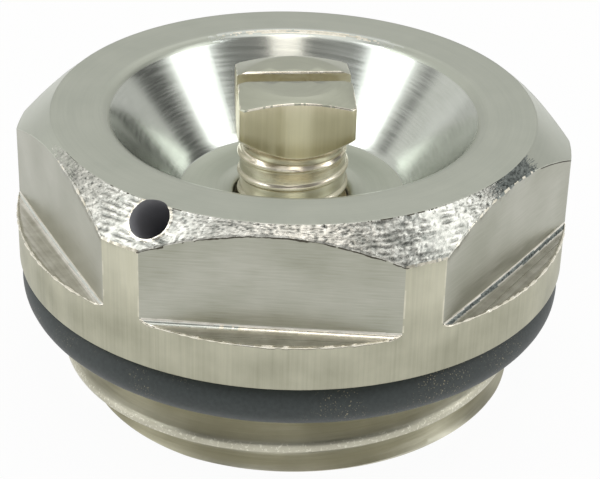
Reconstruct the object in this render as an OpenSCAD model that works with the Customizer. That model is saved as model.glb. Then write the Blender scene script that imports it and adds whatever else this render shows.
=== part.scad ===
// Radiator bleed valve: a turned hexagon plug with an O-ring and a square-headed bleed screw.
// Millimetres. Z runs up the axis, and z = 0 is the end face of the threaded spigot.

/* [Head] */
// Width across the six spanner flats
head_af = 22; // [21:0.1:23.5]
// Diameter of the round bar that the body is turned from
bar_d = 24.4; // [23.8:0.1:27]
// Height of the spanner head above the flange
hex_h = 4.65; // [3.5:0.05:7]
// Thickness of the round flange under the flats
flange_h = 2.1; // [1.5:0.05:4]
// Outer diameter of the flat ring on top, where the crown begins
crown_d = 21.2; // [19.5:0.1:21.6]
// Slope of the turned crown below the flat ring, in degrees
crown_angle = 41; // [30:1:50]
// Downward slope of the ledge that the milling leaves under each flat, in degrees
ledge_slope = 2; // [0:1:25]
// Radius in the corner between a flat and its ledge
ledge_fillet = 0.25; // [0.1:0.05:0.6]

/* [Dish] */
// Diameter at which the rounded lip of the dish leaves the top face
dish_d = 17.2; // [16:0.1:18.4]
// Diameter of the flat floor of the dish
floor_d = 10; // [8.5:0.1:12]
// Depth of the dish below the top face
dish_depth = 4; // [3:0.1:4.5]
// Radius of the rounded lip round the mouth of the dish
dish_lip = 0.7; // [0.3:0.05:1]

/* [Spigot] */
// Outside diameter of the pipe thread
thread_d = 20.7; // [20.4:0.05:21.4]
// Rise of the thread in one turn
thread_pitch = 1.814; // [1.7:0.01:2]
// Depth of the thread from crest to root
thread_depth = 1.16; // [0.6:0.02:1.2]
// Half angle of the thread groove, in degrees
thread_flank = 27.5; // [25:0.5:30]
// Width of the flat land on each thread crest
thread_land = 0.35; // [0.3:0.05:0.6]
// Distance below the O-ring groove at which the thread runs out
thread_exit = 0.57; // [0.4:0.01:0.9]
// Length of the spigot below the flange
spigot_len = 5.7; // [5.3:0.1:8]
// Chamfer on the lower end of the thread
end_chamfer = 0.5; // [0.2:0.05:0.8]

/* [Seal] */
// Thickness of the O-ring
seal_cs = 2.1; // [1.6:0.05:2.15]
// How far the O-ring stays inside the edge of the flange
seal_inset = 0.09; // [0.05:0.01:0.4]

/* [Bleed screw] */
// Width across the flats of the key square
key_af = 5; // [4.5:0.1:5.6]
// Diameter of the round bar that the square is milled from
key_bar_d = 6.8; // [6.4:0.05:7.2]
// Height of the key square, measured at the middle of a face
key_h = 2.75; // [2:0.05:3.2]
// Diameter of the flat on top of the key square
key_flat_d = 4.2; // [3.6:0.05:4.8]
// Slope of the turned crown on the key square, in degrees
key_crown_angle = 19; // [15:1:32]
// Slope of the turned cone under the key square, in degrees
key_under_angle = 41; // [30:1:50]
// How far the key square stands above the top of the body
key_stand = 1.45; // [0.5:0.05:3]
// How far the square is turned from the front flat, in degrees
key_turn = 8.5; // [0:0.5:45]
// Width of the screwdriver slot
slot_w = 0.9; // [0.6:0.05:1.2]
// Depth of the screwdriver slot
slot_depth = 1; // [0.5:0.05:1.4]
// Outside diameter of the screw thread
screw_d = 5; // [4.4:0.1:5.2]
// Diameter of the neck under the square
screw_neck_d = 4.6; // [4:0.05:4.8]
// Height of the neck under the square
screw_neck_h = 0.3; // [0.2:0.05:0.8]
// Diameter of the plain shank in the air chamber
shank_d = 3.2; // [2.6:0.1:3.6]
// Diameter of the flat at the point of the screw
point_d = 1.2; // [0.6:0.1:1.6]

/* [Air way] */
// Diameter of the air inlet through the spigot end
inlet_d = 2; // [1.8:0.1:2.6]
// Diameter of the air chamber round the shank
chamber_d = 4.2; // [4:0.1:4.8]
// Thickness of the wall that holds the valve seat
seat_wall = 0.9; // [0.5:0.05:1.4]
// Slope of the valve seat and of the screw's point, in degrees
seat_angle = 45; // [35:1:55]
// Diameter of the vent drilling
vent_d = 1.8; // [1.4:0.05:2]
// Angle of the vent drilling below the horizontal, in degrees
vent_angle = 43; // [41:0.5:46]
// Distance of the vent's centre outside the flat ring, measured level
vent_out = 0.47; // [0.3:0.01:0.9]
// How far the vent is turned from the corner of the hexagon, in degrees
vent_turn = 3.5; // [-5:0.5:5]
// Countersink round the screw hole in the dish floor
mouth_chamfer = 0.2; // [0.1:0.05:0.4]

/* [Fits] */
// Running clearance between the screw and its hole, on the radius
screw_clear = 0.05; // [0.02:0.01:0.1]
// Clearance between the point of the screw and its seat
seat_clear = 0.04; // [0.02:0.01:0.1]
// Clearance of the O-ring on its neck and under the flange
seal_clear = 0.01; // [0.01:0.01:0.05]

/* [Hidden] */
$fn = 96;
cut = 1;                                   // how far a cutter runs past the metal
flat_count = 6;
bar_r = bar_d / 2;
crown_r = crown_d / 2;
neck_r = bar_r - seal_inset - seal_cs - seal_clear;  // the neck that the O-ring grips
thread_r = thread_d / 2;
screw_r = screw_d / 2;
flange_z = spigot_len;                     // underside of the flange
ledge_z = flange_z + flange_h;             // root of the flats
top_z = ledge_z + hex_h;                   // flat ring on top
floor_z = top_z - dish_depth;
crown_z = top_z - (bar_r - crown_r) * tan(crown_angle);
neck_h = seal_cs + 2 * seal_clear;         // height of the groove that holds the O-ring
neck_z = flange_z - neck_h;

// The wall of the dish runs from its floor and meets the rounded lip without a kink.
lip_centre = [dish_d / 2, top_z - dish_lip];
to_lip = lip_centre - [floor_d / 2, floor_z];
dish_angle = atan2(to_lip.y, to_lip.x) + asin(dish_lip / norm(to_lip));
lip_steps = 6;

// The vent meets the crown at one point and runs down to the chamber from there.
vent_r = crown_r + vent_out;
vent_z = top_z - vent_out * tan(crown_angle);
vent_half = vent_d / 2 / cos(vent_angle);  // half the height of its mouth in an upright wall
vent_azimuth = -90 - 180 / flat_count + vent_turn;
function vent_height(r) = vent_z - (vent_r - r) * tan(vent_angle);

hole_r = screw_r + screw_clear;
chamber_r = chamber_d / 2;
thread_end_z = vent_height(hole_r) + vent_half;
seat_z = seat_wall;                        // where the seat begins, at the inlet
seat_top_z = seat_z + (chamber_r - inlet_d / 2) * tan(seat_angle);

key_top_z = top_z + key_stand;
key_r = key_bar_d / 2;
key_flat_r = key_flat_d / 2;
screw_neck_r = screw_neck_d / 2;
key_foot_z = key_top_z - key_h;            // foot of the square at the middle of a face
function under_z(r) = key_foot_z + (r - key_af / 2) * tan(key_under_angle);
neck_top_z = under_z(screw_neck_r);
function crown_fall(r) = key_top_z - (r - key_flat_r) * tan(key_crown_angle);
shank_r = shank_d / 2;
point_r = point_d / 2;
function seat_height(r) = seat_z + seat_clear / cos(seat_angle) + (r - inlet_d / 2) * tan(seat_angle);

// Groove of the pipe thread: a right-hand helix from below the end face to its run-out by the neck.
// Turns are counted from the front, at -90 degrees.
groove_fade_turn = 0.13;                   // where the cutter begins to draw out
groove_end_turn = 0.34;                    // where it has left the metal
groove_end_z = neck_z - thread_exit;
groove_start_turn = groove_end_turn - (groove_end_z + cut) / thread_pitch;
groove_steps = 48;                         // sections in one turn
groove_over = 0.3;                         // how far the groove's section stands outside the crest
groove_stop = 0.05;                        // metal left between the groove's section and the neck
crest_gap = thread_pitch - thread_land;    // width of the groove between two crests

// Profile of the groove at a given draw: inner lower, outer lower, outer upper, inner upper.
function groove_section(draw) =
    let (root = thread_r - thread_depth + draw)
    let (root_half = crest_gap / 2 - thread_depth * tan(thread_flank))
    let (outer = thread_r + groove_over + draw)
    let (outer_half = root_half + (outer - root) * tan(thread_flank))
    [[root, -root_half], [outer, -outer_half], [outer, outer_half], [root, root_half]];

// How far the cutter has drawn out at a given turn.
function groove_draw(turn) =
    let (share = (turn - groove_fade_turn) / (groove_end_turn - groove_fade_turn))
    max(0, min(1, share)) * (thread_depth + groove_over / 2);

// A corner of the section at a given turn. The cutter stays clear of the neck.
function groove_point(turn, p) =
    let (a = 360 * turn - 90)
    let (z = groove_end_z + thread_pitch * (turn - groove_end_turn) + p[1])
    [p[0] * cos(a), p[0] * sin(a), min(z, neck_z - groove_stop)];

// Half section of everything that is turned on the lathe, from the axis hole out.
module turned_section() {
    polygon(concat(
        [
            [inlet_d / 2, 0],
            [thread_r - end_chamfer, 0],
            [thread_r, end_chamfer],
            [thread_r, neck_z],
            [neck_r, neck_z],
            [neck_r, flange_z],
            [bar_r, flange_z],
            [bar_r, crown_z],
            [crown_r, top_z]
        ],
        [for (i = [0:lip_steps])
            let (a = dish_angle * i / lip_steps)
            lip_centre + dish_lip * [-sin(a), cos(a)]],
        [
            [floor_d / 2, floor_z],
            [hole_r + mouth_chamfer, floor_z],
            [hole_r, floor_z - mouth_chamfer],
            [hole_r, thread_end_z],
            [chamber_r, thread_end_z - (hole_r - chamber_r)],
            [chamber_r, seat_top_z],
            [inlet_d / 2, seat_z]
        ]
    ));
}

// Outline of the milling cutter for one flat, seen along the flat: X is outwards, Y is up.
module flat_outline() {
    apothem = head_af / 2;
    reach = bar_r + cut;
    turn_angle = 90 - ledge_slope;         // the corner turns from the flat to the ledge
    corner_rise = ledge_fillet * tan(turn_angle / 2);
    corner_steps = 6;
    polygon(concat(
        [[reach, top_z + cut], [apothem, top_z + cut]],
        [for (i = [0:corner_steps])
            let (a = 180 + turn_angle * i / corner_steps)
            [apothem + ledge_fillet * (1 + cos(a)), ledge_z + corner_rise + ledge_fillet * sin(a)]],
        [[reach, ledge_z - (reach - apothem) * tan(ledge_slope)]]
    ));
}

module spanner_flats() {
    for (i = [0:flat_count - 1])
        rotate([0, 0, -90 + i * 360 / flat_count])
            translate([0, bar_r + cut, 0])
                rotate([90, 0, 0])
                    linear_extrude(height = bar_d + 2 * cut)
                        flat_outline();
}

module vent_drilling() {
    run = vent_r - chamber_r / 2;          // level distance from the crown into the chamber
    rotate([0, 0, vent_azimuth])
        translate([vent_r, 0, vent_z])
            rotate([0, -90 - vent_angle, 0])
                translate([0, 0, -2 * cut])
                    cylinder(h = run / cos(vent_angle) + 2 * cut, d = vent_d);
}

module thread_groove() {
    count = round((groove_end_turn - groove_start_turn) * groove_steps);
    turns = [for (i = [0:count]) groove_start_turn + i / groove_steps];
    corners = len(groove_section(0));
    points = [for (t = turns) for (p = groove_section(groove_draw(t))) groove_point(t, p)];
    sides = [for (i = [0:count - 1]) for (j = [0:corners - 1])
        let (a = i * corners + j)
        let (b = i * corners + (j + 1) % corners)
        each [[a, b, b + corners], [a, b + corners, a + corners]]];
    first = [for (j = [corners - 1:-1:0]) j];
    last = [for (j = [0:corners - 1]) count * corners + j];
    polyhedron(points, concat(sides, [first], [last]));
}

module valve_body() {
    color([0.77, 0.76, 0.7])
        difference() {
            rotate_extrude()
                turned_section();
            spanner_flats();
            vent_drilling();
            thread_groove();
        }
}

module flange_seal() {
    ring_r = seal_cs / 2;
    color([0.16, 0.17, 0.18])
        translate([0, 0, flange_z - seal_clear - ring_r])
            rotate_extrude()
                translate([neck_r + seal_clear + ring_r, 0])
                    circle(r = ring_r, $fn = 48);
}

// Half section of the whole screw as turned: crown, bar, cone, neck, thread, shank and point.
module screw_section() {
    thread_lead = screw_r - screw_neck_r;
    neck_foot_z = neck_top_z - screw_neck_h;
    polygon([
        [0, seat_height(point_r)],
        [point_r, seat_height(point_r)],
        [shank_r, seat_height(shank_r)],
        [shank_r, thread_end_z],
        [screw_r, thread_end_z + screw_r - shank_r],
        [screw_r, neck_foot_z - thread_lead],
        [screw_neck_r, neck_foot_z],
        [screw_neck_r, neck_top_z],
        [key_r, under_z(key_r)],
        [key_r, crown_fall(key_r)],
        [key_flat_r, key_top_z],
        [0, key_top_z]
    ]);
}

module key_sides() {
    side_count = 4;
    for (i = [0:side_count - 1])
        rotate([0, 0, i * 360 / side_count])
            translate([key_af / 2, -key_r - cut, neck_top_z])
                cube([key_r, key_bar_d + 2 * cut, key_top_z - neck_top_z + cut]);
}

module driver_slot() {
    translate([-key_r - cut, -slot_w / 2, key_top_z - slot_depth])
        cube([key_bar_d + 2 * cut, slot_w, slot_depth + cut]);
}

module bleed_screw() {
    color([0.73, 0.71, 0.6])
        rotate([0, 0, key_turn])
            difference() {
                rotate_extrude()
                    screw_section();
                key_sides();
                driver_slot();
            }
}

valve_body();
flange_seal();
bleed_screw();
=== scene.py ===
import math

import bpy
import numpy as np
from mathutils import Matrix, Vector


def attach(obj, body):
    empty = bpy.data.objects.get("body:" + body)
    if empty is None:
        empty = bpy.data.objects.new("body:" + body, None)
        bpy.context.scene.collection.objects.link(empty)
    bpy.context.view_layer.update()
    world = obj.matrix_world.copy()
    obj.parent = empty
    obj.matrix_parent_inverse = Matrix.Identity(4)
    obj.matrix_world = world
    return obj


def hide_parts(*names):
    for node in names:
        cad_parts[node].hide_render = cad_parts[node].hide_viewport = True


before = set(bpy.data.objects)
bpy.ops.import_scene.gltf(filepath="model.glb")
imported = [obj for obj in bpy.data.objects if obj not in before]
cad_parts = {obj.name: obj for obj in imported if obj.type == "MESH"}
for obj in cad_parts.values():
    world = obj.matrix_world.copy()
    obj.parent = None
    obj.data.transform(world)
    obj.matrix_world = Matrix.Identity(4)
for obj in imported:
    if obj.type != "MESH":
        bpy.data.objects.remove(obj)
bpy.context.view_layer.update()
scene = bpy.context.scene
scene.view_settings.view_transform = "Standard"
mm = 0.001
print("frame loaded")


def addNode(tree, kind, sockets=(), out=0, **settings):
    # Adds a node. Sockets come in order as a list, or by name or number as a dictionary.
    node = tree.nodes.new(kind)
    for setting, value in settings.items():
        setattr(node, setting, value)
    for key, value in sockets.items() if isinstance(sockets, dict) else enumerate(sockets):
        if isinstance(value, bpy.types.NodeSocket):
            tree.links.new(value, node.inputs[key])
        elif value is not None:
            node.inputs[key].default_value = value
    return node.outputs[out] if node.outputs else node


def linearColour(hexColour):
    # "c8beaf" as written on screen to the linear values that a shader takes
    parts = [int(hexColour[i:i + 2], 16) / 255 for i in (0, 2, 4)]
    return [p / 12.92 if p <= 0.04045 else ((p + 0.055) / 1.055) ** 2.4 for p in parts] + [1]


# ---- camera: fitted to the turned rims, the flats and the seal in the photograph ----
camera = {
    "focalPixels": 1938.8, "imageWidth": 600, "sensorWidth": 36,
    "distance": 84.823, "azimuth": 3.4695, "elevation": 29.6017, "roll": -1.6306,
    "slideRight": -0.2585, "slideUp": 5.818, "aimHeight": 12.45,  # mm
}


def placeCamera():
    turn, rise, roll = (math.radians(camera[k]) for k in ("azimuth", "elevation", "roll"))
    back = Vector((math.sin(turn) * math.cos(rise), -math.cos(turn) * math.cos(rise), math.sin(rise)))
    level = Vector((math.cos(turn), math.sin(turn), 0))
    upright = back.cross(level)
    right = math.cos(roll) * level - math.sin(roll) * upright
    up = math.sin(roll) * level + math.cos(roll) * upright
    place = Vector((0, 0, camera["aimHeight"])) + camera["distance"] * back
    place = (place - camera["slideRight"] * right - camera["slideUp"] * up) * mm
    data = bpy.data.cameras.new("photoCamera")
    data.sensor_width = camera["sensorWidth"]
    data.lens = camera["focalPixels"] * camera["sensorWidth"] / camera["imageWidth"]
    data.clip_start, data.clip_end = 0.005, 10
    view = bpy.data.objects.new("photoCamera", data)
    view.matrix_world = Matrix((
        (right.x, up.x, back.x, place.x),
        (right.y, up.y, back.y, place.y),
        (right.z, up.z, back.z, place.z),
        (0, 0, 0, 1)))
    scene.collection.objects.link(view)
    scene.camera = view


placeCamera()

# ---- studio: a pale table, a pale backdrop that darkens upwards, two side lamps and one in front ----
studio = {
    "tableColour": "f6f5f2", "tableRadius": 3.0,
    "tableLift": 0.95,           # share of plain white that a direct or mirrored look at the table gets
    # the backdrop by the cosine of the angle from a point 48 degrees up in front: darkest round it
    "darkest": (0, 48),
    "backdrop": [(-1.0, 0.60), (-0.29, 0.64), (0.0, 0.80), (0.3, 0.78), (0.62, 0.62), (0.77, 0.25), (1.0, 0.23)],
    # patches of the backdrop: azimuth from the front (right is positive), elevation, radius, glow
    "patches": {"darkDoorway": (120, 31, 12, 0.10), "darkGap": (-99, 30, 4, 0.25),
                "rightCard": (120, 3, 12, 0.95), "leftCard": (-120, 4, 14, 0.95),
                "lowFront": (-4, 25, 15, 1.10), "leftWindow": (-80, 11, 12, 2.0), "rightWindow": (90, 11, 12, 1.8),
                "ceilingLeft": (-42, 68, 13, 0.95), "highBack": (178, 50, 12, 1.05),
                "overhead": (0, 88, 20, 1.15)},
    "aim": (0, 0, 9),           # mm
    "lampDistance": 300,        # mm
    # azimuth, elevation, width, height (degrees), glow and colour
    "lamps": {
        "leftSoftbox": (-74, 47, 23, 28, 1.75, "f9fcff"),
        "rightSoftbox": (88, 46, 21, 30, 1.5, "f9fcff"),
        "frontPanel": (12, 67, 15, 26, 1.5, "fff8f3"),
    },
}


def towards(azimuth, elevation):
    turn, rise = math.radians(azimuth), math.radians(elevation)
    return Vector((math.sin(turn) * math.cos(rise), -math.cos(turn) * math.cos(rise), math.sin(rise)))


def lightStudio():
    world = bpy.data.worlds.new("studioWorld")
    scene.world = world
    world.use_nodes = True
    tree = world.node_tree
    tree.nodes.clear()
    direction = addNode(tree, "ShaderNodeTexCoord", out="Generated")
    cosine = addNode(tree, "ShaderNodeVectorMath", [direction, towards(*studio["darkest"])], out="Value",
                     operation="DOT_PRODUCT")
    place = addNode(tree, "ShaderNodeMapRange", [cosine, -1.0, 1.0, 0.0, 1.0])
    shade = addNode(tree, "ShaderNodeValToRGB", [place])
    stops = shade.node.color_ramp.elements
    for index, (where, grey) in enumerate(studio["backdrop"]):
        stop = stops[index] if index < 2 else stops.new((where + 1) / 2)
        stop.position, stop.color = (where + 1) / 2, (grey, grey, grey * 0.985, 1)
    for azimuth, elevation, radius, grey in studio["patches"].values():
        cosine = addNode(tree, "ShaderNodeVectorMath", [direction, towards(azimuth, elevation)], out="Value",
                         operation="DOT_PRODUCT")
        inside = addNode(tree, "ShaderNodeMapRange", {
            0: cosine, 1: math.cos(math.radians(radius + 3)), 2: math.cos(math.radians(radius - 3))})
        shade = addNode(tree, "ShaderNodeMix", {0: inside, 6: shade, 7: (grey, grey, grey, 1)}, out=2, data_type="RGBA")
    glow = addNode(tree, "ShaderNodeBackground", [shade, 1.0])
    addNode(tree, "ShaderNodeOutputWorld", [glow])

    aim = Vector(studio["aim"]) * mm
    distance = studio["lampDistance"] * mm
    for name, (azimuth, elevation, width, height, radiance, colour) in studio["lamps"].items():
        away = towards(azimuth, elevation)
        data = bpy.data.lights.new(name, "AREA")
        data.shape = "RECTANGLE"
        data.size = 2 * distance * math.tan(math.radians(width / 2))
        data.size_y = 2 * distance * math.tan(math.radians(height / 2))
        data.energy = radiance * 4 * data.size * data.size_y
        data.color = linearColour(colour)[:3]
        lamp = bpy.data.objects.new(name, data)
        lamp.location = aim + away * distance
        lamp.rotation_mode = "QUATERNION"
        lamp.rotation_quaternion = away.to_track_quat("Z", "Y")
        scene.collection.objects.link(lamp)


def layTable():
    material = bpy.data.materials.new("paperTable")
    material.use_nodes = True
    tree = material.node_tree
    tree.nodes.clear()
    paper = addNode(tree, "ShaderNodeBsdfDiffuse", [linearColour(studio["tableColour"])])
    white = addNode(tree, "ShaderNodeEmission", [(1, 1, 1, 1), 1.0])
    seen = addNode(tree, "ShaderNodeLightPath", out="Is Camera Ray")
    mirrored = seen.node.outputs["Is Glossy Ray"]
    through = seen.node.outputs["Is Transmission Ray"]
    either = addNode(tree, "ShaderNodeMath", [seen, mirrored], operation="MAXIMUM")
    either = addNode(tree, "ShaderNodeMath", [either, through], operation="MAXIMUM")
    lift = addNode(tree, "ShaderNodeMath", [either, studio["tableLift"]], operation="MULTIPLY")
    mixed = addNode(tree, "ShaderNodeMixShader", [lift, paper, white])
    addNode(tree, "ShaderNodeOutputMaterial", [mixed])
    rim = [(math.cos(a) * studio["tableRadius"], math.sin(a) * studio["tableRadius"], 0)
           for a in np.linspace(0, 2 * math.pi, 64, endpoint=False)]
    mesh = bpy.data.meshes.new("table")
    mesh.from_pydata(rim, [], [list(range(64))])
    mesh.materials.append(material)
    table = bpy.data.objects.new("table", mesh)
    scene.collection.objects.link(table)


lightStudio()
layTable()
print("studio ready")

# ---- finishes ----
# A finish is nickel plate over brass as each tool left it; some also carry painted highlights or painted shade. Its
# grain is in lines per mm: along the tool's travel, across it (the radius, or outwards from a flat) and up, so a low
# number draws it out.
finishes = {
    # turned on the lathe with a fine feed: an even satin grey ring and dish floor
    "turnedNickel": {"colours": ("bcc0b3", "c5c8bb"), "rough": (0.29, 0.36), "grain": (0.25, 14, 14),
                     "lines": 0.0006, "blotch": 0.5},
    # burnished with the dish tool: bright, with faint turning ripples
    "burnishedNickel": {"colours": ("c7cbc2", "d3d6ce"), "rough": (0.15, 0.22), "grain": (0.6, 11, 0),
                        "lines": 0.0009, "blotch": 0.6},
    # torn by a dull tool on the crown: bright ragged grains, with painted shade darkening its pits, scores and two
    # bands
    "tornNickel": {"colours": ("999a92", "f4f2e8"), "rough": (0.23, 0.38), "grain": (7, 7, 7),
                   "lines": 0.006, "blotch": 2.2, "shadeTone": "464a47"},
    # the same, darkened and greyed as painted shade, on the crown's right corner where the tearing fades out and on the
    # right flat's fillet
    "shadedNickel": {"colours": ("585e5c", "a2a8a3"), "rough": (0.25, 0.40), "grain": (7, 7, 7),
                      "lines": 0.006, "blotch": 4.0, "shadeTone": "4a4f4d"},
    # milled along the flat: satin with faint level streaks
    "milledNickel": {"colours": ("9c9d8e", "b6b6aa"), "rough": (0.28, 0.40), "grain": (0.6, 0, 14),
                     "lines": 0.0030, "blotch": 0.35, "milled": True},
    # the drawn bar's own skin on the corners and the flange: fine upright lines
    "drawnNickel": {"colours": ("9f9e8b", "cfcdb9"), "rough": (0.42, 0.58), "grain": (7, 0, 0.15),
                    "lines": 0.0080, "blotch": 0.5, "rise": (7.0, 9.5)},
    # a painted highlight: the bar's skin lighter in a thin strip beside each crease
    "creaseHighlightNickel": {"colours": ("c4c1ae", "dad7c4"), "rough": (0.30, 0.42), "grain": (3, 0, 3),
                     "lines": 0.0040, "blotch": 2.0},
    # the ledge that the end of the milling cutter left: finely scratched, with brown in its marks
    "ledgeNickel": {"colours": ("cdc9bc", "f2efe5"), "rough": (0.26, 0.42), "grain": (0.4, 14, 14),
                    "lines": 0.004, "blotch": 2.0, "milled": True},
    # near-white plate on the burrs that the tools pushed up along an edge, painted as a highlight; also a painted
    # highlight on broken edges, the front fillets and the dish's far lip
    "burrAndHighlightNickel": {"colours": ("ded8c4", "fbf6e8"), "rough": (0.18, 0.30), "grain": (3, 3, 3),
                   "lines": 0.004, "blotch": 4.0},
    # the cut thread and neck: streaky, with a golden cast from the brass
    "threadNickel": {"colours": ("b8b5a2", "d0cdbb"), "rough": (0.30, 0.46), "grain": (0.2, 9, 9),
                     "lines": 0.0110, "blotch": 0.5, "fan": 0.85,
                     "flecks": (10.18, 10.30)},
    # the screw's head and stem: bright plate on brass
    "screwTopNickel": {"colours": ("b4b6a5", "bec0af"), "rough": (0.28, 0.35), "grain": (1.5, 6, 2),
                       "lines": 0.0010, "blotch": 0.5},
    "screwFaceNickel": {"colours": ("cfc6a6", "fbf3d6"), "rough": (0.28, 0.40), "grain": (4, 0, 0.1),
                        "lines": 0.0050, "blotch": 0.4, "band": (0.2, 0.95, 8.5)},
    "slotNickel": {"colours": ("dfdac4", "edead8"), "rough": (0.34, 0.46), "grain": (0.5, 5, 5),
                   "lines": 0.0040, "blotch": 1.0},
    "screwStemNickel": {"colours": ("d9cfb8", "efe8d6"), "rough": (0.16, 0.26), "grain": (0.5, 6, 6),
                        "lines": 0.0040, "blotch": 1.5},
}


def nickelFinish(name):
    look = finishes[name]
    material = bpy.data.materials.new(name)
    material.use_nodes = True
    tree = material.node_tree
    tree.nodes.clear()
    place = addNode(tree, "ShaderNodeTexCoord", out="Object")
    inMm = addNode(tree, "ShaderNodeVectorMath", {0: place, 3: 1 / mm}, operation="SCALE")
    split = addNode(tree, "ShaderNodeSeparateXYZ", [inMm])
    x, y, z = split.node.outputs
    level = addNode(tree, "ShaderNodeVectorMath", [inMm, (1, 1, 0)], operation="MULTIPLY")
    radius = plainRadius = addNode(tree, "ShaderNodeVectorMath", [level], out="Value", operation="LENGTH")
    along, across, up = look["grain"]
    if look.get("milled"):
        # folds the six flats onto one, so that the grain runs along each
        turned = addNode(tree, "ShaderNodeMath", [y, x], operation="ARCTAN2")
        turned = addNode(tree, "ShaderNodeMath", [turned, math.pi * 8 / 3], operation="ADD")
        sixths = addNode(tree, "ShaderNodeMath", [turned, math.pi / 3], operation="DIVIDE")
        flat = addNode(tree, "ShaderNodeMath", [sixths], operation="FLOOR")
        turned = addNode(tree, "ShaderNodeMath", [flat, -math.pi / 3, turned], operation="MULTIPLY_ADD")
        turned = addNode(tree, "ShaderNodeMath", [turned, math.pi / 6], operation="SUBTRACT")
        sine = addNode(tree, "ShaderNodeMath", [turned], operation="SINE")
        cosine = addNode(tree, "ShaderNodeMath", [turned], operation="COSINE")
        x = addNode(tree, "ShaderNodeMath", [radius, sine], operation="MULTIPLY")
        x = addNode(tree, "ShaderNodeMath", [flat, 40.0, x], operation="MULTIPLY_ADD")
        radius = addNode(tree, "ShaderNodeMath", [radius, cosine], operation="MULTIPLY")
        y = 0.0
    across = addNode(tree, "ShaderNodeMath", [radius, across], operation="MULTIPLY")
    grainX = addNode(tree, "ShaderNodeMath", [x, along, across], operation="MULTIPLY_ADD")
    grainY = addNode(tree, "ShaderNodeMath", [y, along], operation="MULTIPLY")
    grainZ = addNode(tree, "ShaderNodeMath", [z, up], operation="MULTIPLY")
    grainAt = addNode(tree, "ShaderNodeCombineXYZ", [grainX, grainY, grainZ])
    grain = addNode(tree, "ShaderNodeTexNoise", {"Vector": grainAt, "Scale": 1.0, "Detail": 4.0, "Roughness": 0.6})
    blotch = addNode(tree, "ShaderNodeTexNoise", {"Vector": inMm, "Scale": look["blotch"], "Detail": 3.0})
    both = addNode(tree, "ShaderNodeMath", [grain, blotch], operation="ADD")
    share = addNode(tree, "ShaderNodeMapRange", [both, 0.72, 1.28, 0.0, 1.0])
    if "band" in look:
        # each side of the head is lighter in a band down its middle
        first, last, turned = look["band"]
        squared = addNode(tree, "ShaderNodeVectorRotate", {"Vector": inMm, "Angle": -math.radians(turned)},
                          rotation_type="Z_AXIS")
        squared = addNode(tree, "ShaderNodeVectorMath", [squared], operation="ABSOLUTE")
        off = addNode(tree, "ShaderNodeSeparateXYZ", [squared]).node.outputs
        near = addNode(tree, "ShaderNodeMath", [off[0], off[1]], operation="MINIMUM")
        band = addNode(tree, "ShaderNodeMapRange", [near, first, last, 0.6, 0.0], interpolation_type="SMOOTHSTEP")
        share = addNode(tree, "ShaderNodeMath", [share, 0.5, band], operation="MULTIPLY_ADD")
    if "rise" in look:
        # painted light: the corners lighter towards their tops, above the flange
        rise = addNode(tree, "ShaderNodeMapRange", [z, *look["rise"], 0.0, 0.5])
        share = addNode(tree, "ShaderNodeMath", [share, 0.6, rise], operation="MULTIPLY_ADD")
    colour = addNode(tree, "ShaderNodeMix", {0: share, 6: linearColour(look["colours"][0]),
                                             7: linearColour(look["colours"][1])}, out=2, data_type="RGBA")
    # painted shade, from the attribute paintedShade: the torn crown darker in its pits, scores and two bands
    if "shadeTone" in look:
        paintedShade = addNode(tree, "ShaderNodeAttribute", out="Fac", attribute_name="paintedShade")
        colour = addNode(tree, "ShaderNodeMix", {0: paintedShade, 6: colour, 7: linearColour(look["shadeTone"])}, out=2,
                         data_type="RGBA")
    if "flecks" in look:
        # pale flecks along the edges of the crests: painted glints on the nicks that knocks have left
        nicked = addNode(tree, "ShaderNodeTexNoise", {"Vector": inMm, "Scale": 8.0, "Detail": 2.0, "Roughness": 0.6})
        nicked = addNode(tree, "ShaderNodeMapRange", [nicked, 0.57, 0.64, 0.0, 0.6])
        crest = addNode(tree, "ShaderNodeMapRange", [plainRadius, *look["flecks"], 0.0, 1.0])
        nicked = addNode(tree, "ShaderNodeMath", [nicked, crest], operation="MULTIPLY")
        colour = addNode(tree, "ShaderNodeMix", {0: nicked, 6: colour, 7: linearColour("f4f2e2")}, out=2,
                         data_type="RGBA")
    rough = addNode(tree, "ShaderNodeMapRange", [grain, 0.35, 0.65, *look["rough"]])
    bump = addNode(tree, "ShaderNodeBump", {"Strength": 1.0, "Distance": look["lines"] * mm, "Height": grain})
    sockets = {"Base Color": colour, "Metallic": 1.0, "Roughness": rough, "Normal": bump}
    if "fan" in look:
        # turning marks run round the axis and fan a reflection out up and down
        around = addNode(tree, "ShaderNodeTangent", direction_type="RADIAL", axis="Z")
        sockets |= {"Anisotropic": look["fan"], "Anisotropic Rotation": 0.25, "Tangent": around}
    metal = addNode(tree, "ShaderNodeBsdfPrincipled", sockets)
    addNode(tree, "ShaderNodeOutputMaterial", [metal])
    return material


def plainFinish(name, colours, rough, metallic=0.0):
    # A matt shade for places the light hardly reaches: the bores and the dark side of a burr.
    material = bpy.data.materials.new(name)
    material.use_nodes = True
    tree = material.node_tree
    tree.nodes.clear()
    place = addNode(tree, "ShaderNodeTexCoord", out="Object")
    bandShading = addNode(tree, "ShaderNodeTexNoise", {"Vector": place, "Scale": 3 / mm, "Detail": 2.0})
    tone = addNode(tree, "ShaderNodeMix", {0: bandShading, 6: linearColour(colours[0]), 7: linearColour(colours[1])},
                   out=2, data_type="RGBA")
    skin = addNode(tree, "ShaderNodeBsdfPrincipled", {
        "Base Color": tone, "Metallic": metallic, "Roughness": rough})
    addNode(tree, "ShaderNodeOutputMaterial", [skin])
    return material


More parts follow.
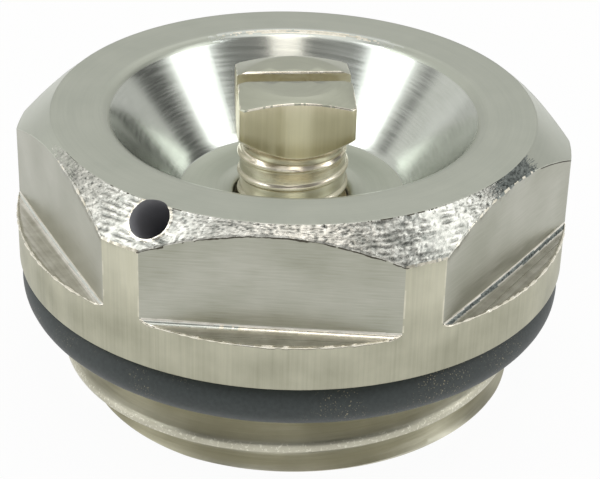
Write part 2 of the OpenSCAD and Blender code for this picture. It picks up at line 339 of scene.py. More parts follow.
def mouldedRubber():
    # EPDM rubber: almost black and matt, with pale dust on its outside
    material = bpy.data.materials.new("mouldedEpdm")
    material.use_nodes = True
    tree = material.node_tree
    tree.nodes.clear()
    place = addNode(tree, "ShaderNodeTexCoord", out="Object")
    inMm = addNode(tree, "ShaderNodeVectorMath", {0: place, 3: 1 / mm}, operation="SCALE")
    skin = addNode(tree, "ShaderNodeTexNoise", {"Vector": inMm, "Scale": 6.0, "Detail": 3.0})
    dust = addNode(tree, "ShaderNodeTexNoise", {"Vector": inMm, "Scale": 15.0, "Detail": 1.0})
    dust = addNode(tree, "ShaderNodeMapRange", [dust, 0.67, 0.70, 0.0, 1.0])
    dusted = addNode(tree, "ShaderNodeTexNoise", {"Vector": inMm, "Scale": 0.45, "Detail": 1.0})
    dusted = addNode(tree, "ShaderNodeMapRange", [dusted, 0.47, 0.67, 0.0, 1.0])
    dust = addNode(tree, "ShaderNodeMath", [dust, dusted], operation="MULTIPLY")
    base = addNode(tree, "ShaderNodeMix", {0: skin, 6: linearColour("262c2c"), 7: linearColour("404847")},
                   out=2, data_type="RGBA")
    dusty = addNode(tree, "ShaderNodeMix", {0: dust, 6: base, 7: linearColour("a39a7e")}, out=2, data_type="RGBA")
    bump = addNode(tree, "ShaderNodeBump", {"Strength": 1.0, "Distance": 0.006 * mm, "Height": skin})
    epdm = addNode(tree, "ShaderNodeBsdfPrincipled", {
        "Base Color": dusty, "Roughness": 0.52, "Normal": bump})
    addNode(tree, "ShaderNodeOutputMaterial", [epdm])
    return material


metals = {name: nickelFinish(name) for name in finishes}
metals["boreShade"] = plainFinish("boreShade", ("3a3a38", "444441"), 0.9)
metals["ventShade"] = plainFinish("ventShade", ("9c9ca0", "a2a2a6"), 0.9)
metals["burrShade"] = plainFinish("burrShade", ("403d35", "68645a"), 0.55, 1.0)
metalOrder = list(metals)
rubber = mouldedRubber()
print("finishes ready")


# ---- geometry trees ----
def openTree(name, inputs):
    # Starts a geometry tree with named inputs and gives the tree and those inputs.
    tree = bpy.data.node_groups.new(name, "GeometryNodeTree")
    tree.is_modifier = True
    tree.interface.new_socket("Geometry", in_out="INPUT", socket_type="NodeSocketGeometry")
    for label, kind in inputs.items():
        tree.interface.new_socket(label, in_out="INPUT", socket_type="NodeSocket" + kind)
    tree.interface.new_socket("Geometry", in_out="OUTPUT", socket_type="NodeSocketGeometry")
    return tree, tree.nodes.new("NodeGroupInput").outputs


def closeTree(tree, geometry, material, chosen=True):
    real = addNode(tree, "GeometryNodeRealizeInstances", [geometry])
    dressed = addNode(tree, "GeometryNodeSetMaterial", {"Geometry": real, "Selection": chosen, "Material": material})
    addNode(tree, "NodeGroupOutput", [dressed])


def runTree(tree, values, mesh=None):
    # Runs a geometry tree and gives back its result as a plain mesh.
    holder = bpy.data.objects.new(tree.name, mesh or bpy.data.meshes.new(tree.name))
    scene.collection.objects.link(holder)
    modifier = holder.modifiers.new(tree.name, "NODES")
    modifier.node_group = tree
    for item in tree.interface.items_tree:
        if item.in_out == "INPUT" and item.name in values:
            modifier[item.identifier] = values[item.name]
    bpy.context.view_layer.update()
    shaped = bpy.data.meshes.new_from_object(holder.evaluated_get(bpy.context.evaluated_depsgraph_get()))
    holder.modifiers.remove(modifier)
    bpy.data.objects.remove(holder)
    return shaped


def threadTree():
    # A threaded sleeve, in mm. The rows of its grid climb with the helix, so that the crests stay
    # clean, and are held between Bottom and Top, where the spare rows fold up and merge.
    tree, given = openTree("threadedSleeve", {
        "Columns": "Int", "Rows a Turn": "Int", "Turns": "Int", "Bottom": "Float", "Top": "Float",
        "Start": "Float", "Pitch": "Float", "Crest Radius": "Float", "Depth": "Float", "Crest Land": "Float", "Crest Round": "Float",
        "Flank Slope": "Float", "Lower Chamfer": "Float", "Upper Chamfer": "Float",
        "Run Out From": "Float", "Run Out To": "Float", "Material": "Material"})
    maths = "ShaderNodeMath"
    rows = addNode(tree, maths, [given["Rows a Turn"], given["Turns"], 1.0], operation="MULTIPLY_ADD")
    columns = addNode(tree, maths, [given["Columns"], 1.0], operation="ADD")
    grid = addNode(tree, "GeometryNodeMeshGrid", {
        "Size X": 1.0, "Size Y": 1.0, "Vertices X": columns, "Vertices Y": rows}, out="Mesh")
    split = addNode(tree, "ShaderNodeSeparateXYZ", [addNode(tree, "GeometryNodeInputPosition")])
    turn = addNode(tree, maths, [split, 0.5], operation="ADD")
    climb = addNode(tree, maths, [split.node.outputs[1], 0.5], operation="ADD")
    climb = addNode(tree, maths, [climb, given["Turns"], turn], operation="MULTIPLY_ADD")
    height = addNode(tree, maths, [climb, given["Pitch"], given["Start"]], operation="MULTIPLY_ADD")
    height = addNode(tree, maths, [height, given["Bottom"]], operation="MAXIMUM")
    height = addNode(tree, maths, [height, given["Top"]], operation="MINIMUM")
    # the place in the groove: whole turns count grooves, and half a turn is a groove's middle
    above = addNode(tree, maths, [height, given["Start"]], operation="SUBTRACT")
    above = addNode(tree, maths, [above, given["Pitch"]], operation="DIVIDE")
    above = addNode(tree, maths, [above, turn], operation="SUBTRACT")
    groove = addNode(tree, maths, [above], operation="FLOOR")
    off = addNode(tree, maths, [above, groove], operation="SUBTRACT")
    off = addNode(tree, maths, [off, 0.5], operation="SUBTRACT")
    off = addNode(tree, maths, [off], operation="ABSOLUTE")
    off = addNode(tree, maths, [off, given["Pitch"]], operation="MULTIPLY")
    half = addNode(tree, maths, [given["Pitch"], given["Crest Land"]], operation="SUBTRACT")
    half = addNode(tree, maths, [half, 0.5], operation="MULTIPLY")
    cut = addNode(tree, maths, [half, off], operation="SUBTRACT")
    cut = addNode(tree, maths, [cut, given["Flank Slope"]], operation="DIVIDE")
    cut = addNode(tree, maths, [cut, given["Depth"]], operation="MINIMUM")
    # the cutter draws out of the metal at the top end
    reached = addNode(tree, maths, [groove, turn], operation="ADD")
    drawn = addNode(tree, "ShaderNodeMapRange", [reached, given["Run Out From"], given["Run Out To"], 0.0, 1.15])
    drawn = addNode(tree, maths, [drawn, given["Depth"]], operation="MULTIPLY")
    cut = addNode(tree, maths, [cut, drawn], operation="SUBTRACT")
    # the greater of the cut and nothing, with a rounded change between them
    squared = addNode(tree, maths, [cut, cut], operation="MULTIPLY")
    squared = addNode(tree, maths, [given["Crest Round"], given["Crest Round"], squared], operation="MULTIPLY_ADD")
    cut = addNode(tree, maths, [cut, addNode(tree, maths, [squared], operation="SQRT")], operation="ADD")
    cut = addNode(tree, maths, [cut, 0.5], operation="MULTIPLY")
    radius = addNode(tree, maths, [given["Crest Radius"], cut], operation="SUBTRACT")
    for chamfer, far, near in (("Lower Chamfer", height, given["Bottom"]), ("Upper Chamfer", given["Top"], height)):
        most = addNode(tree, maths, [far, near], operation="SUBTRACT")
        most = addNode(tree, maths, [most, given[chamfer]], operation="SUBTRACT")
        most = addNode(tree, maths, [most, given["Crest Radius"]], operation="ADD")
        radius = addNode(tree, maths, [radius, most], operation="MINIMUM")
    angle = addNode(tree, maths, [turn, 2 * math.pi, -math.pi / 2], operation="MULTIPLY_ADD")
    wide = addNode(tree, maths, [addNode(tree, maths, [angle], operation="COSINE"), radius], operation="MULTIPLY")
    deep = addNode(tree, maths, [addNode(tree, maths, [angle], operation="SINE"), radius], operation="MULTIPLY")
    wound = addNode(tree, "ShaderNodeCombineXYZ", [wide, deep, height])
    sleeve = addNode(tree, "GeometryNodeSetPosition", {"Geometry": grid, "Position": wound})
    sleeve = addNode(tree, "GeometryNodeMergeByDistance", {"Geometry": sleeve, "Distance": 0.0005})
    closeTree(tree, sleeve, given["Material"])
    return tree


def wornTree():
    # Lifts a mesh (in mm) off its true shape where a tool tore, scored or burred it, and stores the painted shade
    # of the torn crown. How much of each a point gets is in its attributes torn, scored, grimy, ledge and burr.
    tree, given = openTree("workedSurface", {
        "Tear Depth": "Float", "Tears a mm": "Float", "Score Depth": "Float", "Scores a mm": "Float",
        "Ledge Depth": "Float", "Ledge Marks a mm": "Float", "Burr Height": "Float", "Torn Finish": "Material"})
    maths, vectors = "ShaderNodeMath", "ShaderNodeVectorMath"
    place = addNode(tree, "GeometryNodeInputPosition")
    x, y, z = addNode(tree, "ShaderNodeSeparateXYZ", [place]).node.outputs
    level = addNode(tree, vectors, [place, (1, 1, 0)], operation="MULTIPLY")
    radius = addNode(tree, vectors, [level], out="Value", operation="LENGTH")
    share = {name: addNode(tree, "GeometryNodeInputNamedAttribute", {"Name": name}, data_type="FLOAT")
             for name in ("torn", "scored", "grimy", "ledge", "burr")}
    lay = addNode(tree, "GeometryNodeInputNamedAttribute", {"Name": "lay"}, data_type="FLOAT_VECTOR")

    tears = addNode(tree, "ShaderNodeTexNoise", {"Vector": place, "Scale": given["Tears a mm"], "Detail": 3.0,
                                                 "Roughness": 0.65, "Distortion": 0.6})
    # the tool's chatter: wandering rings of scores that come and go
    wander = addNode(tree, "ShaderNodeTexNoise", {"Vector": place, "Scale": 0.9, "Detail": 1.0})
    phase = addNode(tree, maths, [radius, given["Scores a mm"]], operation="MULTIPLY")
    phase = addNode(tree, maths, [wander, 1.3, phase], operation="MULTIPLY_ADD")
    chatter = addNode(tree, maths, [addNode(tree, maths, [phase, 2 * math.pi], operation="MULTIPLY")], operation="SINE")
    groove = addNode(tree, "ShaderNodeMapRange", [chatter, -0.2, 1.0, 0.0, 1.0])
    patch = addNode(tree, "ShaderNodeTexNoise", {"Vector": place, "Scale": 1.6, "Detail": 2.0})
    patch = addNode(tree, "ShaderNodeMapRange", [patch, 0.38, 0.58, 0.0, 1.0])
    groove = addNode(tree, maths, [groove, patch], operation="MULTIPLY")
    stretched = addNode(tree, "ShaderNodeCombineXYZ", [0.5, given["Ledge Marks a mm"], given["Ledge Marks a mm"]])
    ledgeAt = addNode(tree, vectors, [lay, stretched], operation="MULTIPLY")
    marks = addNode(tree, "ShaderNodeTexNoise", {"Vector": ledgeAt, "Scale": 1.0, "Detail": 2.0})
    burrs = addNode(tree, "ShaderNodeTexNoise", {"Vector": place, "Scale": 3.5, "Detail": 3.0, "Roughness": 0.7})
    burrs = addNode(tree, "ShaderNodeMapRange", [burrs, 0.42, 0.68, 0.0, 1.0])
    # painted shade: deep tears and the scores' grooves darker, and the bands that grimy gives
    hollow = addNode(tree, "ShaderNodeMapRange", [tears, 0.46, 0.34, 0.0, 1.0])
    hollow = addNode(tree, maths, [hollow, share["torn"]], operation="MULTIPLY")
    shaded = addNode(tree, maths, [groove, addNode(tree, maths, [share["scored"], 0.75], operation="MULTIPLY")], operation="MULTIPLY")
    paintedShade = addNode(tree, maths, [hollow, shaded], operation="MAXIMUM")
    bandShading = addNode(tree, "ShaderNodeMapRange", [tears, 0.56, 0.44, 0.0, share["grimy"]])
    paintedShade = addNode(tree, maths, [paintedShade, bandShading], operation="MAXIMUM")
    ridged = addNode(tree, maths, [0.5, groove], operation="SUBTRACT")
    lift = 0.0
    for pattern, depth, name, middle in ((tears, "Tear Depth", "torn", 0.5), (ridged, "Score Depth", "scored", 0.5),
                                         (marks, "Ledge Depth", "ledge", 0.5), (burrs, "Burr Height", "burr", 0.0)):
        swing = addNode(tree, maths, [pattern, middle], operation="SUBTRACT")
        swing = addNode(tree, maths, [swing, given[depth]], operation="MULTIPLY")
        lift = addNode(tree, maths, [swing, share[name], lift], operation="MULTIPLY_ADD")
    normal = addNode(tree, "GeometryNodeInputNormal")
    offset = addNode(tree, vectors, {0: normal, 3: lift}, operation="SCALE")
    worked = addNode(tree, "GeometryNodeSetPosition", {"Geometry": given["Geometry"], "Offset": offset})
    worked = addNode(tree, "GeometryNodeStoreNamedAttribute", {"Geometry": worked, "Name": "paintedShade", "Value": paintedShade},
                     data_type="FLOAT", domain="POINT")
    isTorn = addNode(tree, "FunctionNodeCompare", {0: share["torn"], 1: 0.6}, operation="GREATER_THAN")
    closeTree(tree, worked, given["Torn Finish"], isTorn)
    return tree


def ringTree():
    # A round ring swept on a circle, in mm, with a slightly uneven skin.
    tree, given = openTree("sealRing", {
        "Ring Radius": "Float", "Section Radius": "Float", "Height": "Float", "Segments": "Int",
        "Unevenness": "Float", "Material": "Material"})
    path = addNode(tree, "GeometryNodeCurvePrimitiveCircle", {"Resolution": given["Segments"], "Radius": given["Ring Radius"]})
    section = addNode(tree, "GeometryNodeCurvePrimitiveCircle", {"Resolution": 40, "Radius": given["Section Radius"]})
    swept = addNode(tree, "GeometryNodeCurveToMesh", {"Curve": path, "Profile Curve": section})
    place = addNode(tree, "GeometryNodeInputPosition")
    skin = addNode(tree, "ShaderNodeTexNoise", {"Vector": place, "Scale": 0.6, "Detail": 2.0})
    skin = addNode(tree, "ShaderNodeMath", [skin, 0.5], operation="SUBTRACT")
    skin = addNode(tree, "ShaderNodeMath", [skin, given["Unevenness"]], operation="MULTIPLY")
    offset = addNode(tree, "ShaderNodeVectorMath", {0: addNode(tree, "GeometryNodeInputNormal"), 3: skin}, operation="SCALE")
    lifted = addNode(tree, "GeometryNodeSetPosition", {"Geometry": swept, "Offset": offset})
    up = addNode(tree, "ShaderNodeCombineXYZ", [0.0, 0.0, given["Height"]])
    lifted = addNode(tree, "GeometryNodeTransform", {"Geometry": lifted, "Translation": up})
    closeTree(tree, lifted, given["Material"])
    return tree


threadedSleeve, workedSurface, sealRing = threadTree(), wornTree(), ringTree()
print("geometry trees ready")


# ---- turned shells: rings of points, each joined to the one before ----
class TurnedShell:
    # Ring angles are in radians and start just left of the front flat. Finishes are names of metals.
    shares = ("torn", "scored", "grimy", "ledge", "burr")

    def __init__(self, sides):
        self.sides, self.count, self.last = sides, 0, None
        self.points, self.facets, self.finishes = [], [], []
        self.share = {name: [] for name in self.shares}

    def ring(self, turns, radius, height, finish=None, **share):
        radius, height = np.broadcast_to(radius, turns.shape), np.broadcast_to(height, turns.shape)
        self.points.append(np.column_stack((radius * np.cos(turns), radius * np.sin(turns), height)))
        for name in self.shares:
            self.share[name].append(np.broadcast_to(share.get(name, 0.0), turns.shape))
        here = (self.count + np.arange(len(turns)), turns)
        self.count += len(turns)
        if self.last is not None:
            self.join(self.last, here, finish)
        self.last = here
        return here

    def join(self, lower, upper, finish):
        # Facets between two rings. The finish is one name or one for each column.
        (a, turnsA), (b, turnsB) = lower, upper
        if len(a) == len(b):
            self.facets += np.column_stack((a, np.roll(a, -1), np.roll(b, -1), b)).tolist()
            self.finishes += [finish] * len(a) if isinstance(finish, str) else list(finish)
            return
        endsA, endsB = np.append(turnsA[1:], turnsA[0] + 2 * math.pi), np.append(turnsB[1:], turnsB[0] + 2 * math.pi)
        i = j = 0
        while i < len(a) or j < len(b):
            if j == len(b) or (i < len(a) and endsA[i] <= endsB[j] + 1e-9):
                self.facets.append((a[i], a[(i + 1) % len(a)], b[j % len(b)]))
                i += 1
            else:
                self.facets.append((a[i % len(a)], b[(j + 1) % len(b)], b[j]))
                j += 1
            self.finishes.append(finish)

    def pole(self, height, finish, atStart=False):
        # A point on the axis that closes the shell.
        self.points.append(np.array([[0, 0, height]]))
        for name in self.shares:
            self.share[name].append(np.zeros(1))
        centre, (ring, turns) = self.count, self.last
        self.count += 1
        nextOnes = np.roll(ring, -1)
        for i, k in zip(ring, nextOnes):
            self.facets.append((centre, k, i) if atStart else (i, k, centre))
            self.finishes.append(finish)

    def adopt(self, mesh, finish):
        # Takes in a threaded sleeve and gives its bottom and top rings.
        points = np.array([v.co for v in mesh.vertices])
        self.facets += [[v + self.count for v in p.vertices] for p in mesh.polygons]
        self.finishes += [finish] * len(mesh.polygons)
        self.points.append(points)
        for name in self.shares:
            self.share[name].append(np.zeros(len(points)))
        rings = []
        for height in (points[:, 2].min(), points[:, 2].max()):
            chosen = np.flatnonzero(np.abs(points[:, 2] - height) < 1e-6)
            turns = np.arctan2(points[chosen, 1], points[chosen, 0])
            start = -math.pi / 2 - math.pi / self.sides
            turns = start + np.mod(turns - start + 1e-6, 2 * math.pi) - 1e-6
            order = np.argsort(turns)
            rings.append((self.count + chosen[order], turns[order]))
        self.count += len(points)
        return rings

    def mesh(self, name):
        points = np.concatenate(self.points)
        mesh = bpy.data.meshes.new(name)
        mesh.from_pydata(points, [], self.facets)
        for metal in metals.values():
            mesh.materials.append(metal)
        mesh.polygons.foreach_set("material_index", [metalOrder.index(f) for f in self.finishes])
        for share in self.shares:
            mesh.attributes.new(share, "FLOAT", "POINT").data.foreach_set("value", np.concatenate(self.share[share]))
        # the lay of the tool on each side: along it, outwards and up
        turns = np.arctan2(points[:, 1], points[:, 0]) + math.pi / 2 + math.pi / self.sides
        side, within = np.divmod(turns, 2 * math.pi / self.sides)
        within -= math.pi / self.sides
        radius = np.hypot(points[:, 0], points[:, 1])
        lay = np.column_stack((radius * np.sin(within) + 40 * side, radius * np.cos(within), points[:, 2]))
        mesh.attributes.new("lay", "FLOAT_VECTOR", "POINT").data.foreach_set("vector", lay.ravel())
        return mesh


def sideTurns(sides, crease, onFlat, onLand, start=-90, lip=0.34):
    # Ring angles round a bar with milled sides, closer together beside the creases. The lip is the
    # width, in degrees, of a thin strip on the corner's side of each crease.
    t = np.linspace(-1, 1, onFlat + 1)[:-1]
    flat = crease * (0.7 * t + 0.3 * np.sin(math.pi / 2 * t))
    end = 360 / sides - crease
    land = np.concatenate([[crease], np.linspace(crease + lip, end - lip, onLand - 1)])
    return np.radians(np.concatenate([start + 360 / sides * k + np.append(flat, land) for k in range(sides)]))


def besideFlat(turns, sides, start=-90):
    # Each angle's distance from the middle of its side
    part = 2 * math.pi / sides
    return np.mod(turns - math.radians(start) + part / 2, part) - part / 2


def softLess(a, b, round_=0.008):
    return (a + b - np.sqrt((a - b) ** 2 + round_ ** 2)) / 2


def cutAway(mesh, cutter, name):
    # Cuts one mesh out of another and gives the result as a plain mesh.
    whole = bpy.data.objects.new(name, mesh)
    tool = bpy.data.objects.new(name + "Cutter", cutter)
    for item in (whole, tool):
        scene.collection.objects.link(item)
    modifier = whole.modifiers.new("cut", "BOOLEAN")
    modifier.operation, modifier.object, modifier.solver = "DIFFERENCE", tool, "EXACT"
    modifier.material_mode = "TRANSFER"
    bpy.context.view_layer.update()
    result = bpy.data.meshes.new_from_object(whole.evaluated_get(bpy.context.evaluated_depsgraph_get()))
    for item in (whole, tool):
        bpy.data.objects.remove(item)
    return result


def finishPiece(mesh, name, node, ridesOn, sharp=50, facetted=()):
    # Brings a mesh from mm to metres, shades it and puts it in the place of its CAD node.
    mesh.transform(Matrix.Scale(mm, 4))
    mesh.name = name
    facets = [m.name in facetted for m in mesh.materials]
    smooth = [not facets[p.material_index] for p in mesh.polygons]
    mesh.polygons.foreach_set("use_smooth", smooth)
    mesh.set_sharp_from_angle(angle=math.radians(sharp))
    for attribute in (*TurnedShell.shares, "lay"):
        if attribute in mesh.attributes:
            mesh.attributes.remove(mesh.attributes[attribute])
    mesh.update()
    piece = bpy.data.objects.new(name, mesh)
    scene.collection.objects.link(piece)
    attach(piece, ridesOn)
    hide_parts(node)
    print(f"{name}: {sum(len(p.vertices) - 2 for p in mesh.polygons)} triangles")
    return piece


# ---- valve body ----
valve = {
    "acrossFlats": 22, "barDiameter": 24.4, "top": 12.45, "ringDiameter": 21.2, "crownSlope": 41,
    "ledgeRoot": 7.8, "ledgeSlope": 2, "ledgeFillet": 0.25, "flangeUnder": 5.7, "edgeRound": 0.12,
    "neckDiameter": 20.0, "neckFoot": 3.58,
    "dishDiameter": 17.2, "dishLip": 0.7, "floorDiameter": 10, "floor": 8.45,
    "mouthDiameter": 5.5, "holeDiameter": 5.1, "holeEnd": 5.327, "chamberDiameter": 4.2,
    "seatTop": 2.0, "seatFoot": 0.9, "inletDiameter": 2.0,
    "onFlat": 136, "onLand": 24,      # points of the finest ring on one flat and one corner
    "crownRows": 38, "ledgeRows": 20, "flatRows": 9,
    "thread": {"Columns": 288, "Rows a Turn": 20, "Turns": 4, "Bottom": 0.0, "Top": 3.58, "Start": -2.14176,
               "Pitch": 1.814, "Crest Radius": 10.35, "Depth": 1.16, "Crest Land": 0.35, "Crest Round": 0.07,
               "Flank Slope": math.tan(math.radians(27.5)), "Lower Chamfer": 0.5, "Upper Chamfer": 0.0,
               "Run Out From": 2.13, "Run Out To": 2.34},
    "wear": {"Tear Depth": 0.075, "Tears a mm": 6.6, "Score Depth": 0.026, "Scores a mm": 5.0,
             "Ledge Depth": 0.010, "Ledge Marks a mm": 11.0, "Burr Height": 0.06},
    "vent": {"radius": 0.87, "rim": 0.96, "atRadius": 11.125, "height": 11.9936, "azimuth": -116.5, "slope": 43,
             "length": 13.7},
}


def raggedness(turns, reach, seed):
    # A smoothed run of random numbers, one for each column
    dice = np.random.default_rng(seed).normal(size=len(turns))
    return sum(np.roll(dice, k) for k in range(-reach, reach + 1)) / math.sqrt(2 * reach + 1)


def ledgeSection(within):
    # Rows from the ledge's outer edge in to the foot of the flat, as radius and height, for each angle.
    apothem, bar, fillet = valve["acrossFlats"] / 2, valve["barDiameter"] / 2, valve["ledgeFillet"]
    slope = math.radians(valve["ledgeSlope"])
    sweep = math.pi / 2 - slope
    footZ = valve["ledgeRoot"] + fillet * math.tan(sweep / 2)
    lineEnd = apothem + fillet * (1 - math.cos(sweep))
    edge = bar * np.cos(within)                       # distance of the ledge's outer edge from the axis
    inArc = np.arccos(np.clip((apothem + fillet - edge) / fillet, -1, 1))
    arc = fillet * np.where(edge > lineEnd, sweep, inArc)
    line = np.maximum(edge - lineEnd, 0) / math.cos(slope)
    spread = 0.12                                     # height of these rows where there is no ledge
    rows = []
    for share in np.linspace(0, 1, valve["ledgeRows"]):
        gone = share * (arc + line)
        angle = np.where(gone < line, sweep, (arc - (gone - line)) / fillet)
        out = np.where(gone < line, edge - gone * math.cos(slope), apothem + fillet * (1 - np.cos(angle)))
        height = np.where(gone < line, valve["ledgeRoot"] - (out - apothem) * math.tan(slope), footZ - fillet * np.sin(angle))
        plainZ = footZ - spread * (1 - share)
        angleAt = np.arcsin(np.clip((footZ - plainZ) / fillet, -1, 1))
        plainR = np.minimum(bar, (apothem + fillet * (1 - np.cos(angleAt))) / np.cos(within))
        shallow = footZ - (footZ - fillet * np.sin(arc / fillet)) < spread
        shallow |= edge <= apothem
        rows.append((np.where(shallow, plainR, out / np.cos(within)), np.where(shallow, plainZ, height), np.degrees(angle)))
    return rows, footZ


def makeValveBody():
    apothem, bar, top = valve["acrossFlats"] / 2, valve["barDiameter"] / 2, valve["top"]
    crease = math.degrees(math.acos(apothem / bar))
    fine, middle, coarse = (sideTurns(6, crease, valve["onFlat"] // n, valve["onLand"] // n, -90) for n in (1, 2, 4))
    shell = TurnedShell(6)
    sleeve = runTree(threadedSleeve, dict(valve["thread"], Material=metals["threadNickel"]))
    bottomRing, topRing = shell.adopt(sleeve, "threadNickel")

    # neck, and the flange's rounded lower edge
    shell.last = topRing
    neck, under, edge = valve["neckDiameter"] / 2, valve["flangeUnder"], valve["edgeRound"]
    shell.ring(coarse, neck, valve["neckFoot"], "threadNickel")
    shell.ring(coarse, neck, under, "threadNickel")
    shell.ring(coarse, bar - 1.2, under, "threadNickel")
    shell.ring(middle, bar - edge, under, "drawnNickel")
    for a in np.radians((22, 45, 68, 90)):
        shell.ring(middle, bar - edge + edge * math.sin(a), under + edge - edge * math.cos(a), "drawnNickel")

    # flange wall, up to the ledges' outer edges
    for share in (0.35, 0.7, 0.92):
        lowest = ledgeSection(besideFlat(middle, 6))[0][0][1]
        shell.ring(middle, bar, under + edge + (lowest - under - edge) * share, "drawnNickel")

    # a rolled burr along each ledge's edge, near-white as a painted highlight, with a painted shadow under it on most
    # of each flat; then the ledge and its fillet
    within = besideFlat(fine, 6)
    rows, footZ = ledgeSection(within)
    onFlat = np.abs(within) < math.radians(crease) - 1e-6
    flatHere = onFlat | np.roll(onFlat, -1)
    (edgeRadius, edgeZ, _), (nextRadius, nextZ, _) = rows[:2]
    depth = np.clip((footZ - edgeZ) / 0.4, 0, 1) * onFlat
    fromFront = np.degrees(np.mod(fine + math.pi / 2 + math.pi, 2 * math.pi) - math.pi)
    burr = depth ** 0.5 * np.clip(1.5 + 0.55 * raggedness(fine, 1, 31), 0.3, 2.4)
    # painted shadow under the burr, in the dark burrShade
    underBurr = np.where(flatHere & (within > -0.12) & (raggedness(fine, 5, 33) > -0.6), "burrShade", "drawnNickel")
    onBurr = np.where(flatHere & (raggedness(fine, 2, 35) > -1.5), "burrAndHighlightNickel",
                      np.where(flatHere, "ledgeNickel", "drawnNickel"))
    shell.ring(fine, bar, edgeZ - 0.14, "drawnNickel")
    shell.ring(fine, bar + 0.004 * burr, edgeZ - 0.04 * burr - 0.01, "drawnNickel")
    shell.ring(fine, bar + 0.035 * burr, edgeZ - 0.012 * burr, underBurr)
    shell.ring(fine, bar + 0.026 * burr, edgeZ + 0.022 * burr, onBurr, burr=0.2 * depth)
    shell.ring(fine, edgeRadius + (nextRadius - edgeRadius) * 0.3, edgeZ + (nextZ - edgeZ) * 0.3 + 0.036 * burr,
               onBurr, burr=0.2 * depth)
    # painted light on the fillets by side: a painted highlight in the burr colour along the front one, burnished
    # brighter on the front and left, painted shade on the right
    filletHighlight = (np.abs(fromFront) < 27) & ((within > -0.12) | (raggedness(fine, 9, 45) > 0.8))
    fillet = np.where(filletHighlight, "burrAndHighlightNickel", np.where(np.abs(fromFront) < 27, "burnishedNickel", "ledgeNickel"))
    fillet = np.where(np.abs(fromFront - 60) < 27, "shadedNickel", fillet)
    thinFillet = np.where(np.abs(fromFront + 60) < 27, "burnishedNickel", fillet)
    for number, (radius, height, angle) in enumerate(rows[1:], 1):
        share = number / (len(rows) - 1)
        rough = depth * np.clip((angle - 60) / 15, 0, 1)
        inner = np.select([angle > 62, angle > 45, angle > 26, angle > 5],
                          ["ledgeNickel", fillet, thinFillet, "ledgeNickel"], "milledNickel")
        if number == 1:
            height = height + 0.015 * burr
        shell.ring(fine, radius, height, np.where(flatHere, inner, "drawnNickel"), ledge=rough)

    # flats, with a painted highlight strip in the bar's skin on one side of each corner
    column = np.arange(len(fine)) % (valve["onFlat"] + valve["onLand"])
    afterFlat, beforeFlat = column == valve["onFlat"], column == valve["onFlat"] + valve["onLand"] - 1
    wallRadius = softLess(bar, apothem / np.cos(within))
    fall = math.tan(math.radians(valve["crownSlope"]))
    ringRadius = valve["ringDiameter"] / 2
    brim = top - (wallRadius - ringRadius) * fall
    dice = np.random.default_rng(7)
    # the painted shadow under the crown's lower edge is wider along the front flat
    darkEdge = np.where(np.abs(fromFront) < 26, np.clip(0.085 + 0.02 * raggedness(fine, 2, 47), 0.05, 0.14), 0.06)
    for number in range(1, valve["flatRows"] + 1):
        height = footZ + (brim - darkEdge - footZ) * number / valve["flatRows"]
        creaseHighlight = beforeFlat & (dice.random(len(fine)) < 0.9) | afterFlat & (dice.random(len(fine)) < 0.3)
        shell.ring(fine, wallRadius, height, np.where(creaseHighlight, "creaseHighlightNickel", np.where(flatHere, "milledNickel", "drawnNickel")))

    # crown, with a burr along its lower edge: a painted shadow under it along the front flat and the flats beyond the
    # right one, bright burr on the corners
    towardCorner = np.clip((np.abs(within) - math.radians(17)) / math.radians(5), 0, 1)
    tornHere = np.clip(np.minimum((fromFront + 66) / 14, (73 - fromFront) / 7), 0, 1)

    def crownFinish(number):
        # torn in front, darkened with painted shade where that fades out on the right, and smooth beyond, with uneven
        # borders
        edge = raggedness(fine, 2, 60 + number)
        smooth = (tornHere < np.maximum(0.4 + 0.2 * edge, 0.1)) | (fromFront < -50) & (edge > 0.5)
        return np.select([smooth, fromFront > 53 + 2 * edge], ["turnedNickel", "shadedNickel"], "tornNickel")

    fadingSides = (fromFront < -50) | (fromFront > 52)
    # painted shade in two bands where the light corners begin
    shadeBands = np.clip(1.3 - np.abs(fromFront - 29) / 5, 0, 1) * 0.75 + np.clip(1.2 - np.abs(fromFront + 52) / 5, 0, 1) * 0.6
    ragged = raggedness(fine, 4, 7)
    lip = np.clip(0.8 + 0.4 * raggedness(fine, 2, 37), 0.2, 1.6)
    underLip = np.where(flatHere, "milledNickel", np.where(ragged > -0.4, "burrAndHighlightNickel", "drawnNickel"))
    underLip = np.where((np.abs(fromFront) < 26) & (ragged > -1.5) | flatHere & (fromFront > 72), "burrShade", underLip)
    underLip = np.where((tornHere < 0.3) & ~flatHere, "drawnNickel", underLip)
    specks = flatHere & (np.abs(fromFront) > 27) & (raggedness(fine, 1, 53) > 0.5)
    onLip = np.where((~flatHere & (ragged > -1.0) | specks) & (tornHere > 0.3), "burrAndHighlightNickel", crownFinish(0))
    lip = lip * np.clip(tornHere, 0.15, 1)
    shell.ring(fine, wallRadius + 0.025 * lip, brim - 0.02 * lip, underLip, burr=0.3 * tornHere)
    shell.ring(fine, wallRadius - 0.02, brim + 0.02 + 0.03 * lip, onLip, torn=0.25 * tornHere, burr=0.8 * tornHere)
    rows = valve["crownRows"]
    slope, turn = math.radians(valve["vent"]["slope"]), math.radians(valve["vent"]["azimuth"])
    drill = np.array([math.cos(turn) * math.cos(slope), math.sin(turn) * math.cos(slope), math.sin(slope)])
    mouth = np.array([valve["vent"]["atRadius"] * math.cos(turn), valve["vent"]["atRadius"] * math.sin(turn), valve["vent"]["height"]])
    for number in range(1, rows + 1):
        share = number / rows
        radius = wallRadius + (ringRadius - wallRadius) * share
        height = top - (radius - ringRadius) * fall
        rough = (0.61 if number == rows else 1.0) * np.where(fadingSides, np.minimum(tornHere, 0.58), tornHere)
        finish = crownFinish(number)
        # painted shade: a ragged dark line along the crown's upper edge, where it meets the flat ring
        if number == rows:
            finish = np.where((raggedness(fine, 2, 9) > 0.1) & (tornHere > 0.5), "burrShade", finish)
